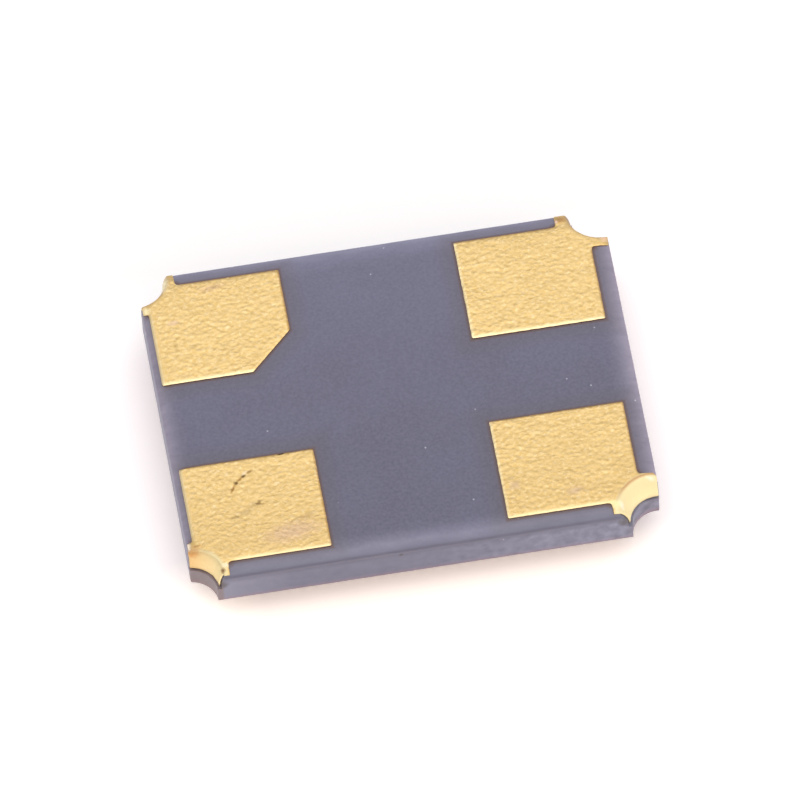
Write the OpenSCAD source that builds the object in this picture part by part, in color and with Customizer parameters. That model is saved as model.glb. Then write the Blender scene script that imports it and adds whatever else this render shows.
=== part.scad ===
// Surface-mount crystal oscillator in a leadless ceramic package, in millimetres.
// It lies on its lid, so +Z points out of the solder lands and Z = 0 is the outer
// face of the lid. X runs along the package and the origin is under its centre.

/* [Package outline] */
// Length of the ceramic along X
package_l = 3.2; // [3.1:0.05:3.4]
// Width of the ceramic along Y
package_w = 2.5; // [2.4:0.05:2.7]
// Thickness of the ceramic sheet that carries the lands
floor_t = 0.155; // [0.12:0.005:0.25]
// Thickness of the ceramic frame that walls the cavity
frame_t = 0.14; // [0.13:0.005:0.2]

/* [Scored and rolled edges] */
// How far in from each side the land face starts to roll down
roll_w = 0.16; // [0.08:0.01:0.18]
// How far the rolled edge drops by the time it reaches the side
roll_h = 0.032; // [0.02:0.002:0.05]
// Depth of the score line that the side was snapped along
score_d = 0.006; // [0.002:0.001:0.01]
// Bevel of the side's edge next to the lid
side_bevel = 0.01; // [0.005:0.005:0.02]

/* [Corner notches] */
// Radius of the corner notch through the land sheet
notch_r = 0.214; // [0.18:0.002:0.24]
// Radius of the same notch through the cavity frame
frame_notch_r = 0.187; // [0.16:0.001:0.19]
// How much wider the notch is at the land face than at its wall
flare_w = 0.041; // [0.03:0.001:0.05]
// The same at the output land, where the punch wore the ceramic further back
wide_flare_w = 0.08; // [0.06:0.005:0.085]
// Depth of that flare
flare_h = 0.14; // [0.1:0.005:0.15]
// How far the flare's curve turns from the wall, in degrees, before it meets the land face
flare_turn = 40; // [30:5:60]
// Offset along X of the punched notches from the snapped outline
punch_shift = -0.025; // [-0.03:0.005:0.03]

/* [Solder lands] */
// Thickness of the plated land, ears and notch lining
land_t = 0.014; // [0.008:0.001:0.02]
// Length of each land along X
land_l = 0.924; // [0.8:0.002:1]
// Width of each land along Y
land_w = 0.809; // [0.7:0.001:0.85]
// Clear distance along X between two lands
land_gap_x = 1.192; // [1.1:0.002:1.3]
// Clear distance along Y between two lands
land_gap_y = 0.682; // [0.6:0.002:0.75]
// Leg of the corner cut off the first land, which marks it
land_mark = 0.3; // [0.1:0.01:0.4]
// Radius of the printed corners
land_corner_r = 0.03; // [0.01:0.005:0.05]
// Distance from the printed pattern's middle to where the ears start, along X
ear_x = 1.3; // [1.25:0.01:1.35]
// Distance from the printed pattern's middle to where the ears start, along Y
ear_y = 0.94; // [0.9:0.01:0.98]
// How far the ears reach down the rolled edge
ear_drop = 0.028; // [0.016:0.002:0.03]
// The same at the output land, where the print ends sooner
short_ear_drop = 0.018; // [0.016:0.002:0.03]
// Offset along X of the printed pattern from the snapped outline
print_shift = -0.04; // [-0.05:0.005:0.05]

/* [Lid and seal] */
// Length of the lid along X
lid_l = 2.88; // [2.8:0.02:2.9]
// Width of the lid along Y
lid_w = 2.18; // [2.1:0.02:2.2]
// Thickness of the lid
lid_t = 0.08; // [0.07:0.01:0.1]
// Corner radius of the lid
lid_corner_r = 0.25; // [0.2:0.01:0.3]
// Width of the sloping edge that the seam welder's rollers press
weld_w = 0.07; // [0.04:0.01:0.1]
// Depth of that slope at the lid's side
weld_h = 0.02; // [0.01:0.005:0.03]
// How much the seal ring stands out past the lid
ring_margin = 0.01; // [0:0.005:0.02]
// Width of the seal ring's wall
ring_wall = 0.27; // [0.2:0.01:0.27]
// Height of the seal ring
ring_h = 0.1; // [0.09:0.01:0.15]
// Thickness of the braze under the seal ring
braze_t = 0.012; // [0.008:0.001:0.02]
// How far the braze fillet spreads on each side of the seal ring
braze_spread = 0.012; // [0.004:0.002:0.02]
// Thickness of the plated frame that the braze wets
seal_plate_t = 0.008; // [0.004:0.001:0.012]

/* [Cavity] */
// Length of the cavity pocket along X
pocket_l = 1.82; // [1.7:0.02:1.84]
// Width of the cavity pocket along Y
pocket_w = 1.48; // [1.44:0.02:1.6]
// Middle of the pocket along X; the crystal shelf is what is left at its other end
pocket_x = 0.21; // [0.2:0.01:0.23]
// Corner radius of the pocket
pocket_corner_r = 0.08; // [0.04:0.01:0.12]
// Thickness of the conductors printed on the cavity floor and shelf
trace_t = 0.008; // [0.004:0.001:0.01]
// Width of those conductors
trace_w = 0.09; // [0.06:0.01:0.12]
// Radius of the filled holes that join one ceramic face to another
via_r = 0.045; // [0.03:0.005:0.05]

/* [Oscillator chip] */
// Length of the chip along X
chip_l = 0.98; // [0.9:0.02:1.1]
// Width of the chip along Y
chip_w = 0.88; // [0.8:0.02:1]
// Thickness of the chip
chip_t = 0.1; // [0.08:0.005:0.1]
// Middle of the chip along X
chip_x = 0.2; // [0.15:0.01:0.25]
// Distance between two bumps along X
bump_pitch_x = 0.38; // [0.34:0.01:0.4]
// Distance between the two rows of bumps
bump_pitch_y = 0.66; // [0.6:0.01:0.7]
// Height of each bump
bump_h = 0.016; // [0.012:0.001:0.018]
// Radius of each bump at its waist
bump_r = 0.034; // [0.025:0.001:0.04]

/* [Quartz crystal] */
// Length of the quartz blank along X
quartz_l = 2.04; // [1.9:0.02:2.1]
// Width of the quartz blank along Y
quartz_w = 1.3; // [1.2:0.02:1.4]
// Thickness of the quartz blank
quartz_t = 0.045; // [0.03:0.005:0.05]
// Middle of the quartz blank along X
quartz_x = -0.07; // [-0.1:0.01:-0.05]
// Bevel around the blank's edges
quartz_bevel = 0.012; // [0.004:0.002:0.015]
// Length of each electrode along X
electrode_l = 1.06; // [0.8:0.02:1.2]
// Width of each electrode along Y
electrode_w = 0.86; // [0.7:0.02:1]
// Middle of the electrodes along X
electrode_x = 0.14; // [0.1:0.01:0.2]
// Thickness of the electrode film
electrode_t = 0.004; // [0.002:0.001:0.005]
// Width of the tab that leads from each electrode to the fixed end
tab_w = 0.3; // [0.2:0.01:0.36]
// Thickness of the conductive adhesive between shelf and quartz
glue_t = 0.02; // [0.015:0.001:0.025]
// Radius of each adhesive dot at its waist
glue_r = 0.13; // [0.1:0.005:0.14]
// Middle of the shelf pads and adhesive dots along X
glue_x = -0.93; // [-0.95:0.01:-0.91]
// Distance from the middle line to each adhesive dot
glue_y = 0.42; // [0.38:0.01:0.44]
// Length and width of each shelf pad
shelf_pad = 0.32; // [0.28:0.01:0.34]

/* [Hidden] */

ceramic_colour = "#4a475a";
gold_colour = "#e6c06a";
inner_gold_colour = "#d9b76a";
nickel_colour = "#b8b6ae";
iron_alloy_colour = "#a3a29c";
braze_colour = "#c9c9c4";
silver_colour = "#d8dadd";
adhesive_colour = "#9a9c9f";
quartz_colour = "#dfe9ee";
silicon_colour = "#5b606c";

// Heights, from the lid's outer face up
ring_z = lid_t;
braze_z = ring_z + ring_h;
seal_z = braze_z + braze_t;
frame_z = seal_z + seal_plate_t;
joint_z = frame_z + frame_t;
face_z = joint_z + floor_t;

half_l = package_l / 2;
half_w = package_w / 2;
ring_l = lid_l + 2 * ring_margin;
ring_w = lid_w + 2 * ring_margin;
ring_corner_r = lid_corner_r + ring_margin;
ring_inner_r = 0.12;
chip_z = joint_z - trace_t - bump_h - chip_t;
shelf_pad_z = frame_z - trace_t;
quartz_top_z = shelf_pad_z - glue_t - electrode_t;
quartz_z = quartz_top_z - quartz_t;
bump_xs = [chip_x - bump_pitch_x, chip_x, chip_x + bump_pitch_x];
bump_y = bump_pitch_y / 2;

// Filled holes, in the quarter of +X +Y: one over each land, and one beside the ground land's notch
land_via = [0.92, 0.6];
ground_via = [1.26, 0.96];

// A blob pressed between two faces is narrower at its feet than at its waist
bump_foot_r = 0.75 * bump_r;
glue_foot_r = 0.9 * glue_r;

// Overshoot of the cutters, and the number of flats on the curves
over = 0.1;
roll_steps = 7;
flare_steps = 5;
corner_steps = 6;
round_fn = 48;

// Points of a quarter turn about [x, y], from angle a, going anticlockwise
function arc(x, y, r, a) =
    [for (i = [0:corner_steps])
        let (t = a + 90 * i / corner_steps)
        [x + r * cos(t), y + r * sin(t)]];

// Outline of a rectangle with round corners, centred on the origin
function round_rect(l, w, r) = concat(
    arc(l / 2 - r, w / 2 - r, r, 0),
    arc(r - l / 2, w / 2 - r, r, 90),
    arc(r - l / 2, r - w / 2, r, 180),
    arc(l / 2 - r, r - w / 2, r, 270));

// Half of the ceramic's section, from the flat land face out and down to the lid side.
// grow moves the land face and the rolled edge outwards by a film's thickness.
function half_section(half, grow) = concat(
    [for (i = [0:roll_steps])
        let (t = 90 * i / roll_steps)
        [half - roll_w + (roll_w + grow) * sin(t), face_z - roll_h + (roll_h + grow) * cos(t)]],
    [
        [half + grow - score_d, face_z - roll_h - score_d],
        [half + grow, face_z - roll_h - 2 * score_d],
        [half + grow, frame_z + side_bevel],
        [half + grow - side_bevel, frame_z]
    ]);

function section(half, grow) =
    let (right = half_section(half, grow), last = len(right) - 1)
    concat(right, [for (i = [last:-1:0]) [-right[i][0], right[i][1]]]);

// Profile of the notch, as a revolved cutter. The wall bends outwards along an ellipse and
// meets the land face at a definite rim. The lining of a notch is the difference between a
// cutter with grow = 0 and one with grow = land_t.
function notch_profile(width, grow) =
    let (
        a = width / (1 - cos(flare_turn)),
        b = flare_h / sin(flare_turn),
        turn = asin((flare_h + grow) / (b + grow)),
        rim_r = notch_r + a - (a + grow) * cos(turn)
    )
    concat(
        [
            [0, frame_z - over],
            [frame_notch_r, frame_z - over],
            [frame_notch_r, joint_z],
            [notch_r - grow, joint_z]
        ],
        [for (i = [0:flare_steps])
            let (t = turn * i / flare_steps)
            [notch_r + a - (a + grow) * cos(t), face_z - flare_h + (b + grow) * sin(t)]],
        [
            [rim_r, face_z + over],
            [0, face_z + over]
        ]);

// The output land's notch, at +X -Y, is the wide one
function flare_at(sx, sy) = sx > 0 && sy < 0 ? wide_flare_w : flare_w;

module place_notch(sx, sy) {
    translate([sx * half_l + punch_shift, sy * half_w, 0]) children();
}

// The ceramic as snapped from its sheet, with rolled edges and flared corner notches
module snapped_block(grow) {
    difference() {
        intersection() {
            rotate([90, 0, 90])
                linear_extrude(package_l + 2 * grow, center = true) polygon(section(half_w, grow));
            rotate([90, 0, 0])
                linear_extrude(package_w + 2 * grow, center = true) polygon(section(half_l, grow));
        }
        for (sx = [-1, 1], sy = [-1, 1])
            place_notch(sx, sy)
                rotate_extrude($fn = round_fn) polygon(notch_profile(flare_at(sx, sy), grow));
    }
}

module via(x, y, z0, z1) {
    translate([x, y, z0]) cylinder(r = via_r, h = z1 - z0, $fn = round_fn);
}

module cavity_pocket() {
    translate([pocket_x, 0, frame_z - over])
        linear_extrude(frame_t + over)
            polygon(round_rect(pocket_l, pocket_w, pocket_corner_r));
}

module ceramic_base() {
    color(ceramic_colour)
    difference() {
        snapped_block(0);
        cavity_pocket();
        for (sy = [-1, 1]) {
            land_conductor(-1, sy);
            land_conductor(1, sy);
            crystal_conductor(sy);
        }
        via(ground_via[0], ground_via[1], frame_z - over, face_z + over);
    }
}

// One printed conductor on the cavity floor: straight runs between round ends
module floor_run(points) {
    translate([0, 0, joint_z - trace_t]) {
        for (p = points)
            translate([p[0], p[1], 0]) cylinder(d = trace_w, h = trace_t, $fn = round_fn);
        for (i = [1:len(points) - 1]) {
            low = [min(points[i - 1][0], points[i][0]), min(points[i - 1][1], points[i][1])];
            size = [abs(points[i][0] - points[i - 1][0]), abs(points[i][1] - points[i - 1][1])];
            along_x = size[0] > size[1];
            translate([low[0] - (along_x ? 0 : trace_w / 2), low[1] - (along_x ? trace_w / 2 : 0), 0])
                cube([along_x ? size[0] : trace_w, along_x ? trace_w : size[1], trace_t]);
        }
    }
}

// From a chip bump along the cavity floor, and through the land sheet to a land
module land_conductor(sx, sy) {
    bump_x = sx > 0 ? bump_xs[2] : bump_xs[1];
    floor_run(sx > 0
        ? [[bump_x, sy * bump_y], [land_via[0], sy * bump_y], [land_via[0], sy * land_via[1]]]
        : [[bump_x, sy * bump_y], [bump_x, sy * land_via[1]], [-land_via[0], sy * land_via[1]]]);
    via(sx * land_via[0], sy * land_via[1], joint_z - trace_t, face_z);
}

// From a shelf pad down through the frame, and along the cavity floor to a chip bump
module crystal_conductor(sy) {
    floor_run([[glue_x, sy * bump_y], [bump_xs[0], sy * bump_y]]);
    via(glue_x, sy * bump_y, frame_z, joint_z);
}

module enable_trace() { color(inner_gold_colour) land_conductor(-1, 1); }
module ground_trace() { color(inner_gold_colour) land_conductor(1, 1); }
module output_trace() { color(inner_gold_colour) land_conductor(1, -1); }
module supply_trace() { color(inner_gold_colour) land_conductor(-1, -1); }
module crystal_trace_a() { color(inner_gold_colour) crystal_conductor(1); }
module crystal_trace_b() { color(inner_gold_colour) crystal_conductor(-1); }

// Ties the seal ring and the lid to the ground land
module lid_ground_via() {
    color(inner_gold_colour) via(ground_via[0], ground_via[1], frame_z, face_z);
}

// Outline of one land in its own quarter, as if that quarter were +X +Y.
// The corner patch that forms the ears runs out to the snapped edges.
module land_outline(edge_x, marked) {
    x0 = land_gap_x / 2;
    y0 = land_gap_y / 2;
    x1 = x0 + land_l;
    y1 = y0 + land_w;
    r = land_corner_r;
    inner_corner = marked
        ? [[x0, y0 + land_mark], [x0 + land_mark, y0]]
        : arc(x0 + r, y0 + r, r, 180);
    polygon(concat(
        inner_corner,
        arc(x1 - r, y0 + r, r, 270),
        [[x1, ear_y], [edge_x, ear_y], [edge_x, half_w], [ear_x, half_w], [ear_x, y1]],
        arc(x0 + r, y1 - r, r, 90)));
}

// A land with its two ears, that reach drop down the rolled edges, and its lining in the
// corner notch
module land(sx, sy, drop, marked = false) {
    color(gold_colour)
    intersection() {
        difference() {
            snapped_block(land_t);
            snapped_block(0);
        }
        union() {
            translate([print_shift, 0, face_z - drop])
                linear_extrude(drop + over)
                    scale([sx, sy]) land_outline(half_l - sx * print_shift, marked);
            intersection() {
                place_notch(sx, sy)
                    translate([0, 0, joint_z])
                        cylinder(r = notch_r + flare_at(sx, sy), h = floor_t, $fn = round_fn);
                translate([0, 0, joint_z])
                    linear_extrude(floor_t) square([package_l, package_w], center = true);
            }
        }
    }
}

module land_1_enable() { land(-1, 1, ear_drop, marked = true); }
module land_2_ground() { land(1, 1, ear_drop); }
module land_3_output() { land(1, -1, short_ear_drop); }
module land_4_supply() { land(-1, -1, ear_drop); }

module shelf_pad_at(sy) {
    color(inner_gold_colour)
    translate([glue_x, sy * glue_y, shelf_pad_z])
        linear_extrude(trace_t) polygon(round_rect(shelf_pad, shelf_pad, land_corner_r));
}

module shelf_pad_a() { shelf_pad_at(1); }
module shelf_pad_b() { shelf_pad_at(-1); }

// A flat frame, spread past the seal ring's wall by margin on both sides
module ring_frame(margin) {
    difference() {
        polygon(round_rect(ring_l + 2 * margin, ring_w + 2 * margin, ring_corner_r + margin));
        polygon(round_rect(
            ring_l - 2 * ring_wall - 2 * margin, ring_w - 2 * ring_wall - 2 * margin, ring_inner_r));
    }
}

module seal_plating() {
    color(gold_colour)
    translate([0, 0, seal_z]) linear_extrude(seal_plate_t) ring_frame(braze_spread);
}

// The braze stands a little proud of the ring's wall
module braze_frame() {
    color(braze_colour)
    translate([0, 0, braze_z]) linear_extrude(braze_t) ring_frame(braze_spread / 2);
}

// Ring punched from sheet
module seal_ring() {
    color(iron_alloy_colour)
    translate([0, 0, ring_z]) linear_extrude(ring_h) ring_frame(0);
}

// The lid's plate between z and z + h, with its side sloping in by inset at the lower end
module lid_slice(z, h, inset) {
    corner_x = lid_l / 2 - lid_corner_r;
    corner_y = lid_w / 2 - lid_corner_r;
    translate([0, 0, z]) {
        for (x = [-corner_x, corner_x], y = [-corner_y, corner_y])
            translate([x, y, 0])
                cylinder(r1 = lid_corner_r - inset, r2 = lid_corner_r, h = h, $fn = round_fn);
        rotate([90, 0, 90])
            linear_extrude(2 * corner_x, center = true) polygon(slope_section(lid_w / 2, h, inset));
        rotate([90, 0, 0])
            linear_extrude(2 * corner_y, center = true) polygon(slope_section(lid_l / 2, h, inset));
    }
}

function slope_section(half, h, inset) =
    [[inset - half, 0], [half - inset, 0], [half, h], [-half, h]];

// Stamped plate whose edge the seam welder's rollers pressed to a slope all round
module lid() {
    color(nickel_colour) {
        lid_slice(0, weld_h, weld_w);
        lid_slice(weld_h, lid_t - weld_h, 0);
    }
}

module oscillator_chip() {
    color(silicon_colour)
    translate([chip_x - chip_l / 2, -chip_w / 2, chip_z]) cube([chip_l, chip_w, chip_t]);
}

// A blob squeezed between two faces: waist radius r, radius foot_r where it meets them
module pressed_blob(r, foot_r, h) {
    rotate_extrude($fn = round_fn)
        polygon([[0, 0], [foot_r, 0], [r, h / 3], [r, 2 * h / 3], [foot_r, h], [0, h]]);
}

// Gold studs, flattened against the chip and the floor conductors
module chip_bumps() {
    color(gold_colour)
    for (x = bump_xs, sy = [-1, 1])
        translate([x, sy * bump_y, chip_z + chip_t]) pressed_blob(bump_r, bump_foot_r, bump_h);
}

// Section of the blank across one bevelled edge pair
function blank_section(size) = [
    [size / 2, quartz_bevel], [size / 2, quartz_t - quartz_bevel],
    [size / 2 - quartz_bevel, quartz_t], [quartz_bevel - size / 2, quartz_t],
    [-size / 2, quartz_t - quartz_bevel], [-size / 2, quartz_bevel],
    [quartz_bevel - size / 2, 0], [size / 2 - quartz_bevel, 0]
];

module quartz_blank() {
    color(quartz_colour, 0.5)
    translate([quartz_x, 0, quartz_z])
        intersection() {
            rotate([90, 0, 90]) linear_extrude(quartz_l, center = true) polygon(blank_section(quartz_w));
            rotate([90, 0, 0]) linear_extrude(quartz_w, center = true) polygon(blank_section(quartz_l));
        }
}

// Electrode film with its tab to one fixed corner of the blank
module electrode_film(sy) {
    tab_x = quartz_x - quartz_l / 2 + quartz_bevel;
    linear_extrude(electrode_t) {
        translate([electrode_x, 0]) polygon(round_rect(electrode_l, electrode_w, land_corner_r));
        translate([tab_x, sy * glue_y - tab_w / 2])
            square([electrode_x - electrode_l / 2 - tab_x + land_corner_r, tab_w]);
    }
}

module electrode_base_side() {
    color(silver_colour)
    translate([0, 0, quartz_top_z]) electrode_film(-1);
}

// This film turns over the blank's fixed end to reach its adhesive dot
module electrode_lid_side() {
    end_x = quartz_x - quartz_l / 2;
    color(silver_colour) {
        translate([0, 0, quartz_z - electrode_t]) electrode_film(1);
        translate([end_x - electrode_t, glue_y - tab_w / 2, quartz_z - electrode_t])
            difference() {
                cube([shelf_pad, tab_w, quartz_t + 2 * electrode_t]);
                translate([electrode_t, -over, electrode_t])
                    cube([shelf_pad, tab_w + 2 * over, quartz_t]);
            }
    }
}

module adhesive_dot(sy) {
    color(adhesive_colour)
    translate([glue_x, sy * glue_y, shelf_pad_z - glue_t]) pressed_blob(glue_r, glue_foot_r, glue_t);
}

module adhesive_dot_a() { adhesive_dot(1); }
module adhesive_dot_b() { adhesive_dot(-1); }

ceramic_base();
land_1_enable();
land_2_ground();
land_3_output();
land_4_supply();
enable_trace();
ground_trace();
output_trace();
supply_trace();
crystal_trace_a();
crystal_trace_b();
shelf_pad_a();
shelf_pad_b();
lid_ground_via();
seal_plating();
braze_frame();
seal_ring();
lid();
oscillator_chip();
chip_bumps();
quartz_blank();
electrode_lid_side();
electrode_base_side();
adhesive_dot_a();
adhesive_dot_b();
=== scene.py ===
# %% [markdown]
# # A crystal oscillator in a leadless ceramic package
#
# The part is 3.2 mm long and lies on its metal lid, with the four gold solder lands up. The
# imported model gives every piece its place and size. This notebook builds the pieces that
# show again in fine mesh, and gives every piece a finish worked out from its real material.

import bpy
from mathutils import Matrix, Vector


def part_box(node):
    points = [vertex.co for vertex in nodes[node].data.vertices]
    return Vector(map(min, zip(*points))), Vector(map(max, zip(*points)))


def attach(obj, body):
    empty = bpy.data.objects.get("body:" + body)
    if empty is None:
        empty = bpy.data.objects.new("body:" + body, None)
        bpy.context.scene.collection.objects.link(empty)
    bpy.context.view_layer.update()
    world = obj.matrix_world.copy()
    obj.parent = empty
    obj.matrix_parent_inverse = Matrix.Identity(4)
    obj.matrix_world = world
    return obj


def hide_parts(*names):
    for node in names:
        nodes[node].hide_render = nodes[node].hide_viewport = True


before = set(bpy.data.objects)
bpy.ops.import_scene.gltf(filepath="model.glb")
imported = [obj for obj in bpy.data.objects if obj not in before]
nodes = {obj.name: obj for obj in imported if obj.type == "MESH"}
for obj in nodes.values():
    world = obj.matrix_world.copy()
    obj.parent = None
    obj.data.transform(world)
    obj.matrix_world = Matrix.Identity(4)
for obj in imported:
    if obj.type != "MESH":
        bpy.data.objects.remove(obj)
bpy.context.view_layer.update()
print("pieces in the packed model:", len(nodes))

# %% [markdown]
# ## A bench in millimetres
#
# Modelling tools are made for things the size of a chair. On a part this small, their merge
# distances and the size of their noise are too coarse. So each piece is modelled on a bench
# where one unit is one millimetre, and shrunk to metres when it is finished.

# %% The bench
import math

import bmesh
import bpy
from mathutils import Matrix, Vector

MM = 0.001


def box_on_bench(node):
    """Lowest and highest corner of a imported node, in millimetres."""
    low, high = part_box(node)
    return low / MM, high / MM


ceramic_low, ceramic_high = box_on_bench("ceramic_base")
half_l, half_w = ceramic_high.x, ceramic_high.y
frame_z, face_z = ceramic_low.z, ceramic_high.z
land_low, land_high = box_on_bench("land_2_ground")
joint_z, land_t = land_low.z, land_high.z - face_z
print(f"ceramic {2 * half_l:.2f} x {2 * half_w:.2f} mm, from z {frame_z:.3f} to {face_z:.3f}")
print(f"lands {land_t:.3f} mm thick, notch lining down to z {joint_z:.3f}")

# %% [markdown]
# ## The camera
#
# A part this small is looked at through a long lens, which keeps its far side as large as its
# near side. The camera is set by three angles: how far round it stands, how high, and how much
# it leans. Its lens follows from how many pixels of the 800 pixel frame one millimetre takes.

# %% Camera
view_azimuth, view_elevation, view_lean = (math.radians(angle) for angle in (6.538, 55.627, -3.286))
camera_distance = 160
px_per_mm = 148.4
frame_px = 800
sensor_mm = 36
clip_near, clip_far = 0.01, 10
aim_right_px, aim_down_px = 1.44, 8.01

around = Matrix.Rotation(-view_azimuth, 3, "Z")
tipped = Matrix.Rotation(math.pi / 2 - view_elevation, 3, "X")
turned = around @ tipped @ Matrix.Rotation(view_lean, 3, "Z")
right, up, towards = turned.col
aim = Vector((0, 0, land_high.z)) + (aim_right_px * right - aim_down_px * up) / px_per_mm

camera_data = bpy.data.cameras.new("camera")
camera_data.sensor_width = sensor_mm
camera_data.lens = sensor_mm * camera_distance * px_per_mm / frame_px
camera_data.clip_start, camera_data.clip_end = clip_near, clip_far
camera = bpy.data.objects.new("camera", camera_data)
bpy.context.scene.collection.objects.link(camera)
camera.matrix_world = Matrix.Translation((aim + towards * camera_distance) * MM) @ turned.to_4x4()
bpy.context.scene.camera = camera
print(f"lens {camera_data.lens:.0f} mm, {camera_distance} mm away")

# %% [markdown]
# ## Tools for shaping by hand
#
# Blender's modelling operators work on whatever is selected. In a script there is no mouse, so
# one helper selects points, edges or faces by where they are and which way they point. The
# others add a primitive or a box with round upright edges, resize a piece, merge points, apply
# a modifier, and cut one piece with another. A boolean can number the same points differently
# each time it runs, which would change what later steps do with them. So they are put in order
# by their distance from a cursor set well off to one side.

# %% Select and bevel
steep = 0.9


def select_only(piece):
    bpy.ops.object.select_all(action="DESELECT")
    piece.select_set(True)
    bpy.context.view_layer.objects.active = piece


def edit(piece):
    select_only(piece)
    bpy.ops.object.mode_set(mode="EDIT")


def leave_edit():
    bpy.ops.object.mode_set(mode="OBJECT")


def pick(piece, kind, test):
    """Selects each VERT, EDGE or FACE whose middle and direction pass the test."""
    bpy.ops.mesh.select_mode(type=kind)
    bpy.ops.mesh.select_all(action="DESELECT")
    mesh = bmesh.from_edit_mesh(piece.data)
    if kind == "VERT":
        for vert in mesh.verts:
            vert.select_set(test(vert.co, vert.normal))
    elif kind == "EDGE":
        for edge in mesh.edges:
            start, end = (vert.co for vert in edge.verts)
            edge.select_set(test((start + end) / 2, (end - start).normalized()))
    else:
        for face in mesh.faces:
            face.select_set(test(face.calc_center_median(), face.normal))
    bmesh.update_edit_mesh(piece.data)


def pick_all():
    bpy.ops.mesh.select_all(action="SELECT")


def is_upright(place, along):
    return abs(along.z) > steep


def bevel_edges(piece, test, width, segments):
    """Bevels the edges that pass the test, in edit mode."""
    pick(piece, "EDGE", test)
    bpy.ops.mesh.bevel(offset=width, segments=segments, clamp_overlap=False)


# %% Add and resize
def primitive(name, add_it, **settings):
    """Adds a primitive, and puts its place and size into its mesh."""
    bpy.ops.object.select_all(action="DESELECT")
    add_it(**settings)
    bpy.ops.object.transform_apply()
    piece = bpy.context.object
    piece.name = name
    return piece


def box_between(name, low, high):
    """A cube primitive that fills the space between two corners."""
    low, high = Vector(low), Vector(high)
    filled = {"location": (low + high) / 2, "scale": high - low}
    return primitive(name, bpy.ops.mesh.primitive_cube_add, size=1, **filled)


def rounded_box(name, low, high, radius, segments):
    piece = box_between(name, low, high)
    edit(piece)
    bevel_edges(piece, is_upright, radius, segments)
    leave_edit()
    return piece


def resize(piece, *factors):
    """Resizes a piece about the origin, and puts its new size into its mesh."""
    select_only(piece)
    bpy.ops.transform.resize(value=factors, center_override=(0, 0, 0))
    bpy.ops.object.transform_apply()


# %% Merge, modify, cut
touching, nearly_touching = 1e-6, 1e-5
sort_from = (7, 11, 5)


def merge_close(piece, distance):
    """Merges points that nearly touch, and turns the faces outwards again."""
    edit(piece)
    pick_all()
    bpy.ops.mesh.remove_doubles(threshold=distance)
    bpy.ops.mesh.dissolve_degenerate(threshold=distance)
    pick_all()
    bpy.ops.mesh.normals_make_consistent(inside=False)
    leave_edit()


def apply_modifier(piece, kind, **settings):
    select_only(piece)
    bpy.ops.object.modifier_add(type=kind)
    modifier = piece.modifiers[-1]
    for name, value in settings.items():
        setattr(modifier, name, value)
    bpy.ops.object.modifier_apply(modifier=modifier.name)


def combine(piece, other, operation):
    """Cuts, joins or intersects piece with other, throws other away and puts piece in order."""
    apply_modifier(piece, "BOOLEAN", object=other, operation=operation, solver="EXACT")
    bpy.data.objects.remove(other)
    bpy.context.scene.cursor.location = sort_from
    edit(piece)
    pick_all()
    bpy.ops.mesh.sort_elements(type="CURSOR_DISTANCE", elements={"VERT", "EDGE", "FACE"})
    leave_edit()


def copy_of(piece, name):
    copy = bpy.data.objects.new(name, piece.data.copy())
    bpy.context.scene.collection.objects.link(copy)
    return copy


def faces_in(piece):
    return f"{piece.name}: {len(piece.data.polygons)} faces"


# %% [markdown]
# ## The ceramic: a block snapped from a sheet
#
# Dozens of packages are pressed and fired as one sheet with score lines between them, and then
# snapped apart like chocolate. Pressing the score rolls the land face down at every side, and
# the snap leaves a fine groove under the roll. A bevel gives a round edge, but this roll is
# five times as wide as it is deep. So the block is stretched upwards, bevelled with a true
# round, and squeezed back. The same form, grown by a film's thickness, later cuts the lands.

# %% Rolled block
roll_w, roll_h = 0.16, 0.032
roll_segments = 12
score_d = 0.006
groove_z = face_z - roll_h - score_d
side_bevel = 0.01
slack = 1e-4


def rolled_block(name, grow):
    low = Vector((-half_l - grow, -half_w - grow, frame_z))
    high = Vector((half_l + grow, half_w + grow, face_z + grow))
    piece = box_between(name, low, high)
    stretch = (roll_w + grow) / (roll_h + grow)
    edit(piece)
    pick_all()
    bpy.ops.transform.resize(value=(1, 1, stretch), center_override=(0, 0, high.z))
    bevel_edges(piece, lambda place, along: place.z > high.z - slack, roll_w + grow, roll_segments)
    pick_all()
    bpy.ops.transform.resize(value=(1, 1, 1 / stretch), center_override=(0, 0, high.z))
    for z in (groove_z, groove_z - score_d):
        pick_all()
        bpy.ops.mesh.bisect(plane_co=(0, 0, z), plane_no=(0, 0, 1), threshold=touching)
    pick(piece, "VERT", lambda place, normal: abs(place.z - groove_z) < slack)
    pull = (1 - score_d / high.x, 1 - score_d / high.y, 1)
    bpy.ops.transform.resize(value=pull, center_override=(0, 0, 0))
    bevel_edges(piece, lambda place, along: place.z < low.z + slack, side_bevel, 1)
    leave_edit()
    return piece


ceramic = rolled_block("ceramic", 0)
plated_form = rolled_block("plated_form", land_t)
print(faces_in(ceramic), "|", faces_in(plated_form))

# %% [markdown]
# ## The corner notches
#
# Before the sheet was fired, a round hole was punched where four packages meet, so each one
# keeps a quarter of it. The punch pushed the soft sheet outwards at its mouth, and it was wider
# through the land sheet than through the frame under it. The cutter for that is turned from a
# disc: extrude the rim up, resize it, extrude again, along a stretch of an ellipse. The punch
# was worn at the output land, where the mouth is wider. At the marked land the hole in the
# frame is wider, so its ledge is narrow. The frame's corners at the notches snapped round.

# %% Notch sizes
notch_r, frame_notch_r, wide_frame_notch_r = 0.214, 0.187, 0.203
flare_w, wide_flare_w = 0.041, 0.08
flare_h = 0.14
flare_turn = math.radians(40)
flare_steps = 8
punch_shift = -0.025
cutter_over = 0.1

CORNERS = {
    "land_1_enable": (-1, 1),
    "land_2_ground": (1, 1),
    "land_3_output": (1, -1),
    "land_4_supply": (-1, -1),
}


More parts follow.
